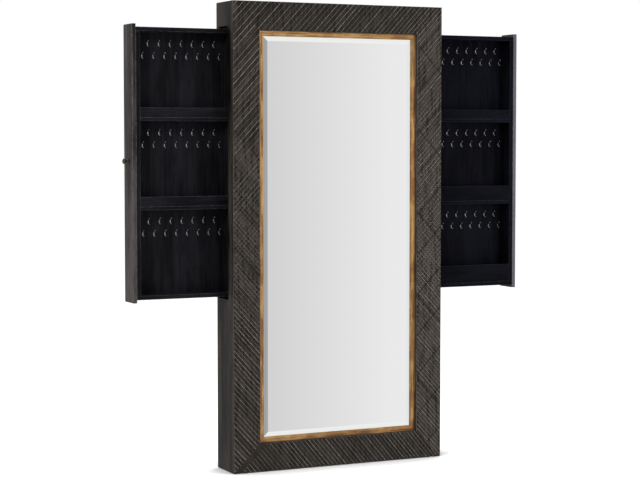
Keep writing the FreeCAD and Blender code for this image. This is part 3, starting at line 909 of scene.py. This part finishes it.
class MIRROR_OT_face_frame(bpy.types.Operator):
    """Builds the scored face frame from four mitred members"""

    bl_idname = "mirror.face_frame"
    bl_label = "Face frame"

    def execute(self, context):
        woods = context.scene.mirror_wood
        top_left = Vector((FRAME_LOW.x, FACE_Y, FRAME_HIGH.z))
        bottom_left = Vector((FRAME_LOW.x, FACE_Y, FRAME_LOW.z))
        rising = Family(top_left, -woods.rising_run, woods.rising_wide, woods.rising_tight)
        falling = Family(bottom_left, woods.falling_run, woods.falling_wide, woods.falling_tight)
        steep = Family(bottom_left, woods.steep_run, woods.falling_wide, woods.falling_tight)
        for node, rail in (
            ("frame_top_rail", True), ("frame_bottom_rail", True),
            ("frame_left_stile", False), ("frame_right_stile", False),
        ):
            low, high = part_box(node)
            draw = random.Random(node)
            piece = member("scored_" + node, node, rail)
            self.round_arrises(piece, woods, rail, (low + high) / 2)
            if node == "frame_top_rail":
                scores = [(rising, self.even(rising, low, high, woods, draw))]
                scores.append((falling, self.faint(falling, low, high, woods, draw)))
            elif node == "frame_bottom_rail":
                scores = [(rising, self.faint(rising, low, high, woods, draw))]
                scores.append((steep, self.even(steep, low, high, woods, draw)))
            else:
                scores = self.crossed(rising, falling, node, woods, draw)
            start_edit(piece)
            if node == "frame_bottom_rail":
                cut(bottom_left + Vector((woods.plain_mitre * math.sqrt(2), 0, 0)), Vector((1, 0, -1)))
            choose(piece, "faces", lambda face: self.takes_scores(face, node, woods))
            bpy.ops.mesh.hide(unselected=True)
            score(piece, woods, scores)
            bpy.ops.mesh.reveal(select=False)
            end_edit()
            mark_eased(piece)
            # The right stile's light tones are painted light
            stiles = {"frame_left_stile": woods.left_tones, "frame_right_stile": woods.right_lit_tones}
            mark_strips(piece, woods, scores, stiles.get(node, woods.rail_tones), draw)
            self.clear_eased_scores(piece)
            settle(piece, "case", "scored_wood", finish("Scored wood"), node)
        return {"FINISHED"}

    def takes_scores(self, face, node, woods):
        """Whether a face is part of the front that is scored."""
        place = middle_of(face)
        from_mitre = (place.x - FRAME_LOW.x - place.z + FRAME_LOW.z) / math.sqrt(2)
        plain = node == "frame_bottom_rail" and from_mitre < woods.plain_mitre
        return face.normal.y < -AXIS_SHARE and not plain

    def even(self, family, low, high, woods, draw):
        """Lines of a rail, each of its own strength."""
        return {line: draw.uniform(*woods.rail_strength) for line in family.crossing(low, high)}

    def faint(self, family, low, high, woods, draw):
        """Stained lines across the scored ones of a rail, darker towards the right."""
        found = {}
        start = woods.stained_start
        for line in family.crossing(low, high):
            level = family.corner.x + line - ((low.z + high.z) / 2 - family.corner.z) * family.run
            along = (level - low.x) / (high.x - low.x)
            grown = min(max(start + along * woods.stained_gain, start), 1)
            found[line] = -draw.uniform(*woods.stained_strength) * grown
        return found

    def crossed(self, rising, falling, node, woods, draw):
        """Lines of a stile: rising ones fade downwards, falling ones upwards. The right has dark joints."""
        low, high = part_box(node)
        across = (low.x + high.x) / 2
        side = "left" if node == "frame_left_stile" else "right"
        scores = []
        for family, name in ((rising, "rising"), (falling, "falling")):
            end = getattr(woods, f"{side}_{name}_end")
            last = family.offset(Vector((across, 0, end)))
            fade = woods.fade * abs(family.run)
            lines = {}
            for line in family.crossing(low, high):
                if line < last:
                    faded = min(max((last - line) / fade, woods.fade_least), woods.fade_most)
                    lines[line] = draw.uniform(*getattr(woods, side + "_strength")) * faded
            scores.append((family, lines))
        if side == "right":
            self.add_joints(rising, scores[0][1], low, high, woods.joint_spacing, -math.inf)
            self.add_joints(falling, scores[1][1], low, high, 2 * woods.joint_spacing, woods.right_rising_end)
        return scores

    def add_joints(self, family, lines, low, high, spacing, bottom):
        """Turns every so many lines of a family into a dark joint, down to a height."""
        last = None
        for line in family.crossing(low, high):
            height = family.corner.z + (line - (low.x + high.x) / 2 + family.corner.x) / family.run
            if height > bottom and (last is None or line - last > spacing * abs(family.run)):
                lines[line] = JOINT
                last = line

    def round_arrises(self, piece, woods, rail, middle):
        """Rounds the two front edges of a member, the inner one more."""
        axis = axis_across(rail)
        centre = FRAME_MIDDLE[axis]
        for inner, arris in ((True, woods.inner_arris), (False, woods.outer_arris)):

            def front_edge(edge):
                place = middle_of(edge)
                along = edge.verts[0].co - edge.verts[1].co
                on_front = all(vert.co.y < FACE_Y + NEAR for vert in edge.verts)
                runs = abs(along[axis]) < NEAR
                nearer = abs(place[axis] - centre) < abs(middle[axis] - centre)
                return on_front and runs and nearer == inner

            start_edit(piece)
            choose(piece, "edges", front_edge)
            round_edges(arris, segments=3)
            end_edit()

    def clear_eased_scores(self, piece):
        """Leaves the walls of scored lines out of the worn edges."""
        eased = piece.data.attributes["eased"].data
        scored = piece.data.attributes["score"].data
        joints = piece.data.attributes["joint"].data
        for mark, line, joint in zip(eased, scored, joints):
            if line.value > 0 or joint.value > 0:
                mark.value = 0.0


class MIRROR_OT_liner(bpy.types.Operator):
    """Builds the gilt liner from four mitred mouldings"""

    bl_idname = "mirror.liner"
    bl_label = "Gilt liner"

    def execute(self, context):
        settings = context.scene.mirror_liner
        for node, rail in (
            ("liner_top", True), ("liner_bottom", True), ("liner_left", False), ("liner_right", False),
        ):
            low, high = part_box(node)
            middle = (low + high) / 2
            piece = member("gilt_" + node, node, rail)
            axis = axis_across(rail)
            inward = math.copysign(1, FRAME_MIDDLE[axis] - middle[axis])
            outer = high[axis] if inward < 0 else low[axis]
            inner = low[axis] if inward < 0 else high[axis]
            across = Vector((0, 0, inward)) if rail else Vector((inward, 0, 0))
            line = middle.copy()
            line[axis] = outer + inward * settings.flat
            start_edit(piece)
            cut(line, across)

            def on_front(vert, place):
                return abs(vert.co[axis] - place) < NEAR and vert.co.y < low.y + NEAR

            choose(piece, "verts", lambda vert: on_front(vert, inner))
            bpy.ops.transform.translate(value=(0, settings.fall, 0))
            choose(piece, "edges", lambda edge: all(on_front(vert, line[axis]) for vert in edge.verts))
            round_edges(settings.shoulder, segments=4)
            end_edit()
            mark_eased(piece)
            store(piece, "upright", [float(not rail)] * len(piece.data.polygons))
            smooth(piece)
            settle(piece, "case", "gilt", finish("Gilt"), node)
        return {"FINISHED"}


class MIRROR_OT_case(bpy.types.Operator):
    """Builds the slotted sides and the boards of the case"""

    bl_idname = "mirror.case"
    bl_label = "Case"

    def execute(self, context):
        woods = context.scene.mirror_wood
        for side in SIDES:
            piece = self.slotted_side(side, woods)
            settle(piece, "case", "case_wood", finish("Side wood upright"), side + "_side_panel")
        for node in ("top_board", "bottom_board"):
            piece = eased_board("eased_" + node, node, woods.board_ease)
            settle(piece, "case", "case_wood", finish("Side wood level"), node)
        dress(("bay_floor", "bay_ceiling"), finish("Left tray wood level"))
        dress(("mirror_backing", "back_panel"), finish("Raw board upright"))
        dress(("upper_slide_rail", "lower_slide_rail"), finish("Raw board level"))
        dress(("mirror_glass",), finish("Mirror"))
        return {"FINISHED"}

    def slotted_side(self, side, woods):
        """Side panel with the slot for its tray cut through it."""
        node = side + "_side_panel"
        piece = add_block("slotted_" + node, *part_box(node))
        low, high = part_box(side + "_end_panel")
        fit = woods.end_fit
        start_edit(piece)
        for place, normal in (
            ((0, low.y - fit, 0), (0, 1, 0)), ((0, high.y + fit, 0), (0, 1, 0)),
            ((0, 0, low.z - fit), (0, 0, 1)), ((0, 0, high.z + fit), (0, 0, 1)),
        ):
            cut(Vector(place), Vector(normal))

        def in_slot(face):
            place = middle_of(face)
            return abs(face.normal.x) > AXIS_SHARE and low.y < place.y < high.y and low.z < place.z < high.z

        choose(piece, "faces", in_slot)
        bpy.ops.mesh.delete(type="FACE")
        choose(piece, "edges", lambda edge: edge.is_boundary)
        bpy.ops.mesh.bridge_edge_loops()
        choose(piece, "edges", lambda edge: edge.calc_face_angle(0) > SHARP)
        round_edges(woods.board_ease, segments=2)
        end_edit()
        mark_eased(piece)
        smooth(piece)
        return piece


class MIRROR_OT_trays(bpy.types.Operator):
    """Builds the boards, shelves, lips and end panels of both trays"""

    bl_idname = "mirror.trays"
    bl_label = "Trays"

    def execute(self, context):
        woods = context.scene.mirror_wood
        upright = ("tray_outer_side", "tray_inner_side", "hook_panel")
        level = (
            "tray_top", "tray_bottom", "upper_shelf", "middle_shelf", "upper_lip", "middle_lip", "lower_lip",
        )
        for side in SIDES:
            for names, grain in ((upright, "upright"), (level, "level")):
                for name in names:
                    node = side + "_" + name
                    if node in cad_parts:
                        piece = eased_board("eased_" + node, node, woods.tray_ease)
                        material = finish(f"{side.title()} tray wood {grain}")
                        settle(piece, side + "_tray", "tray_wood", material, node)
            node = side + "_end_panel"
            piece = eased_board("eased_" + node, node, woods.end_ease)
            # Only the right end panel's front edge gets the painted highlight
            if side == "right":
                self.mark_painted_highlight(piece)
            settle(piece, side + "_tray", "case_wood", finish("End wood upright"), node)
        return {"FINISHED"}

    def mark_painted_highlight(self, piece):
        """Marks the front edge of an end panel, which takes a painted highlight."""
        store(piece, "lipped", [float(face.normal.y < -AXIS_SHARE) for face in piece.data.polygons])


class MIRROR_OT_hooks(bpy.types.Operator):
    """Models one double hook and hangs copies of it in the compartments"""

    bl_idname = "mirror.hooks"
    bl_label = "Hooks"

    def execute(self, context):
        hardware = context.scene.mirror_hardware
        pattern = self.model_hook(hardware)
        for side in SIDES:
            for row in ROWS:
                node = f"{side}_{row}_hooks"
                low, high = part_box(node)
                copies = [copy_to(pattern, place) for place in self.places(low, high, pattern, hardware)]
                piece = join(copies, "hung_" + node)
                mark_eased(piece)
                smooth(piece, degrees=50)
                settle(piece, side + "_tray", "hook_metal", finish("Nickel"), node)
        bpy.data.objects.remove(pattern)
        return {"FINISHED"}

    def places(self, low, high, pattern, hardware):
        """Places of the hooks in a compartment: a full row below and a staggered row above."""
        corners = [Vector(corner) for corner in pattern.bound_box]
        columns = hardware.hook_columns
        first = low.x + hardware.hook_plate_width / 2
        pitch = (high.x - low.x - hardware.hook_plate_width) / (columns - 1)
        below = low.z - min(corner.z for corner in corners)
        above = high.z - max(corner.z for corner in corners)
        lower = [Vector((first + pitch * column, high.y, below)) for column in range(columns)]
        upper = [Vector((first + pitch * (column + 0.5), high.y, above)) for column in range(columns - 1)]
        return lower + upper

    def model_hook(self, hardware):
        """Double hook with its back at the origin, facing -Y."""
        half = Vector((hardware.hook_plate_width, hardware.hook_plate, hardware.hook_plate_height)) / 2
        middle = Vector((0, -half.y, 0))
        plate = add_block("hook_plate", middle - half, middle + half)
        start_edit(plate)
        choose(plate, "edges", lambda edge: abs((edge.verts[0].co - edge.verts[1].co).y) > NEAR)
        round_edges(half.x * hardware.hook_corner, segments=3)
        end_edit()
        return join([plate] + self.bend_bar(hardware), "hook_pattern")

    def bend_bar(self, hardware):
        """Round bar from the upper tip, down the plate and round the lower bend, with a ball at each tip."""
        steps = 6
        slope = hardware.hook_slope
        turn = QUARTER - slope
        bend = (hardware.hook_bend * turn / steps, turn / steps)
        arc = (hardware.hook_arc * hardware.hook_sweep / steps, hardware.hook_sweep / steps)
        path = [(hardware.hook_prong, 0)] + [bend] * steps + [(hardware.hook_run, 0)] + [arc] * steps
        ends = self.follow(path, slope)
        stand = hardware.hook_bar * hardware.hook_stand
        on_plate = Vector((0, -hardware.hook_plate - stand, hardware.hook_run / 2))
        start = on_plate - ends[1 + steps]
        bar = add_disc("hook_bar", 8, hardware.hook_bar, start, (slope - QUARTER, 0, 0))
        start_edit(bar)
        bpy.ops.mesh.select_all(action="SELECT")
        for (step, turn), before, after in zip(path, ends, ends[1:]):
            bpy.ops.mesh.extrude_region_move(TRANSFORM_OT_translate={"value": after - before})
            if turn:
                bpy.ops.transform.rotate(value=turn, orient_axis="X", center_override=start + after)
        end_edit()
        return [bar] + [self.ball(hardware, start + end) for end in (ends[0], ends[-1])]

    def follow(self, path, heading):
        """Points along a bent bar that starts at the origin and heads back and down."""
        places = [Vector((0, 0, 0))]
        for step, turn in path:
            heading += turn / 2
            places.append(places[-1] + Vector((0, math.cos(heading), -math.sin(heading))) * step)
            heading += turn / 2
        return places

    def ball(self, hardware, place):
        """Ball on the tip of a prong."""
        deselect()
        bpy.ops.mesh.primitive_ico_sphere_add(subdivisions=2, radius=hardware.hook_ball, location=place)
        ball = bpy.context.object
        apply_place()
        return ball


class MIRROR_OT_knobs(bpy.types.Operator):
    """Turns the two knobs"""

    bl_idname = "mirror.knobs"
    bl_label = "Knobs"

    def execute(self, context):
        for side, sign in SIDES.items():
            node = side + "_knob"
            low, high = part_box(node)
            piece = self.turn_knob("turned_" + node, low, high, sign)
            settle(piece, side + "_tray", "knob_metal", finish("Bronze"), node)
        return {"FINISHED"}

    def turn_knob(self, name, low, high, sign):
        """Knob of rings that are drawn out from a disc on the end panel."""
        reach = high.x - low.x
        radius = (high.z - low.z) / 2
        middle = (low + high) / 2
        foot = Vector((low.x if sign > 0 else high.x, middle.y, middle.z))
        turn = (0, QUARTER * sign, 0)
        piece = add_disc(name, 32, KNOB_PROFILE[0][1] * radius, foot, turn)
        start_edit(piece)
        bpy.ops.mesh.select_all(action="SELECT")
        for (before, narrow), (along, wide) in zip(KNOB_PROFILE, KNOB_PROFILE[1:]):
            move = Vector((sign * (along - before) * reach, 0, 0))
            bpy.ops.mesh.extrude_region_move(TRANSFORM_OT_translate={"value": move})
            centre = foot + Vector((sign * along * reach, 0, 0))
            bpy.ops.transform.resize(value=(1, wide / narrow, wide / narrow), center_override=centre)
        face_outward()
        smooth(piece, degrees=40)
        return piece


class MIRROR_OT_slides(bpy.types.Operator):
    """Finishes the telescopic slides"""

    bl_idname = "mirror.slides"
    bl_label = "Slides"

    def execute(self, context):
        for side in SIDES:
            dress([f"{side}_{kind}_channels" for kind in ("fixed", "middle", "moving")], finish("Zinc"))
        return {"FINISHED"}


class MIRROR_OT_fasteners(bpy.types.Operator):
    """Models one screw and sets copies of it round the back panel, and finishes the glides"""

    bl_idname = "mirror.fasteners"
    bl_label = "Screws and glides"

    def execute(self, context):
        hardware = context.scene.mirror_hardware
        dress(("floor_glides",), finish("Nylon"))
        pattern = self.model_screw(hardware)
        copies = [copy_to(pattern, place) for place in self.places(hardware)]
        bpy.data.objects.remove(pattern)
        piece = join(copies, "back_panel_screws")
        smooth(piece)
        settle(piece, "case", "slide_steel", finish("Zinc"))
        return {"FINISHED"}

    def model_screw(self, hardware):
        """Domed screw head with a sunk middle, at the origin, facing +Y."""
        screw = add_disc("screw_pattern", 16, hardware.screw_radius, (0, 0, 0), (-QUARTER, 0, 0))
        start_edit(screw)
        bpy.ops.mesh.select_all(action="SELECT")
        for rise, factor in SCREW_PROFILE:
            move = (0, rise * hardware.screw_rise, 0)
            bpy.ops.mesh.extrude_region_move(TRANSFORM_OT_translate={"value": move})
            bpy.ops.transform.resize(value=(factor, 1, factor))
        face_outward()
        return screw

    def places(self, hardware):
        """Places round the edge of the back panel."""
        low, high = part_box("back_panel")
        inset = hardware.screw_inset
        across = self.along(low.x + inset, high.x - inset, hardware.screw_columns)
        up = self.along(low.z + inset, high.z - inset, hardware.screw_rows)
        ends = [Vector((x, high.y, z)) for x in across for z in (up[0], up[-1])]
        edges = [Vector((x, high.y, z)) for x in (across[0], across[-1]) for z in up[1:-1]]
        return ends + edges

    def along(self, first, last, number):
        """Evenly spaced values from a first to a last."""
        return [first + (last - first) * step / (number - 1) for step in range(number)]


class MIRROR_OT_stage(bpy.types.Operator):
    """Sets up the floor, the light and the camera"""

    bl_idname = "mirror.stage"
    bl_label = "Stage"

    def execute(self, context):
        settings = context.scene.mirror_stage
        context.scene.view_settings.view_transform = "Standard"
        self.floor(settings)
        self.world(context.scene, settings)
        self.lamp("key_lamp", settings.key_place, settings.key_aim, settings.key_size, settings.key)
        self.lamp("fill_lamp", settings.fill_place, settings.fill_aim, settings.fill_size, settings.fill)
        self.lamp("top_lamp", settings.top_place, settings.top_aim, settings.top_size, settings.top)
        self.camera(context.scene, settings)
        return {"FINISHED"}

    def floor(self, settings):
        """White floor that keeps the shadow of the lamps, glows less near the case as a painted shade, and
        lets reflections through to the backdrop.
        """
        deselect()
        bpy.ops.mesh.primitive_plane_add(size=settings.floor_size)
        floor = bpy.context.object
        floor.name = "floor"
        material = bpy.data.materials.new("Floor")
        tree = clear_tree(material)
        path = put(tree, "ShaderNodeLightPath").outputs
        pale = put(tree, "ShaderNodeBsdfDiffuse", {"Color": (0.8, 0.8, 0.8)})
        # Painted shade: the floor's glow to the camera fades where the case hides the sky, found by ambient
        # occlusion
        shade = put(tree, "ShaderNodeAmbientOcclusion", {"Distance": settings.floor_shade}, samples=16)
        glow_outside_painted_shade = spread(tree, shade.outputs["AO"], *settings.floor_open, 0.0, settings.floor_lift)
        strength = scaled(tree, path["Is Camera Ray"], glow_outside_painted_shade)
        lift = put(tree, "ShaderNodeEmission", {"Strength": strength})
        white = put(tree, "ShaderNodeAddShader")
        tree.links.new(pale.outputs["BSDF"], white.inputs[0])
        tree.links.new(lift.outputs["Emission"], white.inputs[1])
        clear = put(tree, "ShaderNodeBsdfTransparent").outputs["BSDF"]
        mixed = mix_shaders(tree, reflected(tree, path), white.outputs["Shader"], clear)
        put(tree, "ShaderNodeOutputMaterial", {"Surface": mixed})
        floor.data.materials.append(material)

    def world(self, scene, settings):
        """Even light from all round, a white background, and a graded backdrop for reflections."""
        world = bpy.data.worlds.new("Studio")
        scene.world = world
        tree = clear_tree(world)
        path = put(tree, "ShaderNodeLightPath").outputs
        view = put(tree, "ShaderNodeTexCoord").outputs["Generated"]
        parts = put(tree, "ShaderNodeSeparateXYZ", {"Vector": view}).outputs
        turn = sum_up(tree, "ARCTAN2", parts["X"], scaled(tree, parts["Y"], -1.0))
        height = sum_up(tree, "ARCSINE", parts["Z"])
        rise = sum_up(tree, "ABSOLUTE", sum_up(tree, "SUBTRACT", height, BACKDROP_MIDDLE))
        pale = spread(tree, rise, *BACKDROP_EDGES)
        backdrop = blend(tree, pale, self.grade(tree, turn), BACKDROP_ENDS)
        even, white, mirrored = (
            put(tree, "ShaderNodeBackground", {"Color": shade, "Strength": strength}).outputs["Background"]
            for shade, strength in (((1, 1, 1), settings.sky), ((1, 1, 1), 1.0), (backdrop, 1.0))
        )
        lit = mix_shaders(tree, reflected(tree, path), even, mirrored)
        shown = mix_shaders(tree, path["Is Camera Ray"], lit, white)
        put(tree, "ShaderNodeOutputWorld", {"Surface": shown})

    def grade(self, tree, turn):
        """Backdrop that is darker a little to the right of straight ahead of the glass."""
        low, high = BACKDROP[0][0], BACKDROP[-1][0]
        inputs = {"Value": turn, "From Min": math.radians(low), "From Max": math.radians(high)}
        place = put(tree, "ShaderNodeMapRange", inputs).outputs["Result"]
        ramp = put(tree, "ShaderNodeValToRGB", {"Fac": place})
        elements = ramp.color_ramp.elements
        for index, (degrees, value) in enumerate(BACKDROP):
            position = (degrees - low) / (high - low)
            stop = elements[index] if index < 2 else elements.new(position)
            stop.position = position
            stop.color = (value, value, value, 1)
        return ramp.outputs["Color"]

    def lamp(self, name, place, aim, size, watts):
        """Large soft lamp that points at a place."""
        data = bpy.data.lights.new(name, "AREA")
        data.shape = "SQUARE"
        data.size = size
        data.energy = watts
        lamp = bpy.data.objects.new(name, data)
        bpy.context.scene.collection.objects.link(lamp)
        lamp.visible_glossy = False
        lamp.location = place
        lamp.rotation_euler = (Vector(aim) - Vector(place)).to_track_quat("-Z", "Y").to_euler()

    def camera(self, scene, settings):
        """Camera at the photograph's viewing angle."""
        data = bpy.data.cameras.new("camera")
        data.lens = settings.lens
        camera = bpy.data.objects.new("camera", data)
        scene.collection.objects.link(camera)
        camera.location = settings.camera_place
        camera.rotation_euler = (QUARTER - settings.camera_dip, 0, -settings.camera_turn)
        scene.camera = camera


OPERATORS = (
    MIRROR_OT_finishes,
    MIRROR_OT_face_frame,
    MIRROR_OT_liner,
    MIRROR_OT_case,
    MIRROR_OT_trays,
    MIRROR_OT_hooks,
    MIRROR_OT_knobs,
    MIRROR_OT_slides,
    MIRROR_OT_fasteners,
    MIRROR_OT_stage,
)
SETTINGS = {
    "mirror_wood": WoodSettings,
    "mirror_liner": LinerSettings,
    "mirror_hardware": HardwareSettings,
    "mirror_stage": StageSettings,
}


class MIRROR_PT_panel(bpy.types.Panel):
    """Lists the steps and their settings"""

    bl_label = "Floor mirror"
    bl_idname = "MIRROR_PT_panel"
    bl_space_type = "VIEW_3D"
    bl_region_type = "UI"
    bl_category = "Mirror"

    def draw(self, context):
        for operator in OPERATORS:
            self.layout.operator(operator.bl_idname)
        for name, group in SETTINGS.items():
            box = self.layout.box()
            box.label(text=group.__doc__)
            for setting in group.__annotations__:
                box.prop(getattr(context.scene, name), setting)


def register():
    """Registers the settings, the operators and the panel."""
    for kind in (*SETTINGS.values(), *OPERATORS, MIRROR_PT_panel):
        bpy.utils.register_class(kind)
    for name, group in SETTINGS.items():
        setattr(bpy.types.Scene, name, PointerProperty(type=group))


def unregister():
    """Takes back what register did."""
    for name in SETTINGS:
        delattr(bpy.types.Scene, name)
    for kind in (MIRROR_PT_panel, *reversed(OPERATORS), *reversed(SETTINGS.values())):
        bpy.utils.unregister_class(kind)


def main():
    """Builds the pieces and the stage."""
    register()
    for operator in OPERATORS:
        group, name = operator.bl_idname.split(".")
        getattr(getattr(bpy.ops, group), name)()


if __name__ == "__main__":
    main()
